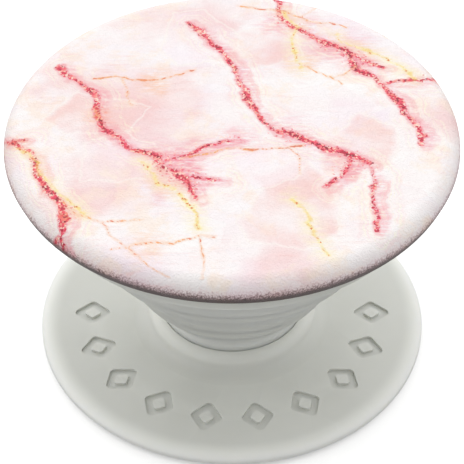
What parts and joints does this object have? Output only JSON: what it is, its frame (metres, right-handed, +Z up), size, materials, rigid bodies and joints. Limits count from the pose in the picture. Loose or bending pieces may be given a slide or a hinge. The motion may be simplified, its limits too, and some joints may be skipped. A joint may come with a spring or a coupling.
{
  "type": "collapsible phone grip",
  "caption": "Round pop-out phone grip: a printed cap on a folding conical neck over a round stick-on platform.",
  "frame": {"origin": "centre of the adhesive's lower face, which meets the phone", "axes": "+Z up the neck towards the printed cap; the platform's marks lie on the -Y half"},
  "size_m": [0.04, 0.04, 0.0247],
  "materials": {
    "printed_film": "satin, fine pebble grain, printed marble veins",
    "rigid_white": "satin, slightly translucent",
    "soft_neck": "soft satin elastomer",
    "gel": "glossy, tacky",
    "film": "clear film"
  },
  "bodies": {
    "base": {"platform": "rigid_white", "anchor_plug": "rigid_white", "bond_layer": "film", "carrier_film": "film", "gel_pad": "gel", "foot_sleeve": "soft_neck", "lower_web": "soft_neck"},
    "lower_tier": {"lower_wall": "soft_neck", "middle_web": "soft_neck"},
    "upper_tier": {"upper_wall": "soft_neck", "upper_web": "soft_neck"},
    "collar": {"collar_wall": "soft_neck", "receiver_ring": "rigid_white"},
    "cap": {"print_film": "printed_film", "cap_disc": "rigid_white", "lock_hub": "rigid_white"}
  },
  "joints": [
    {"name": "lower_fold", "type": "slide", "parent": "base", "child": "lower_tier", "axis": [0, 0, 1], "range_m": [-0.0057, 0], "deforming": ["lower_web"]},
    {"name": "middle_fold", "type": "slide", "parent": "lower_tier", "child": "upper_tier", "axis": [0, 0, 1], "range_m": [-0.00595, 0], "deforming": ["middle_web"]},
    {"name": "upper_fold", "type": "slide", "parent": "upper_tier", "child": "collar", "axis": [0, 0, 1], "range_m": [-0.00595, 0], "deforming": ["upper_web"]},
    {"name": "twist_lock", "type": "hinge", "parent": "collar", "child": "cap", "pos_m": [0, 0, 0.0224], "axis": [0, 0, 1], "range_deg": [0, 90]}
  ]
}
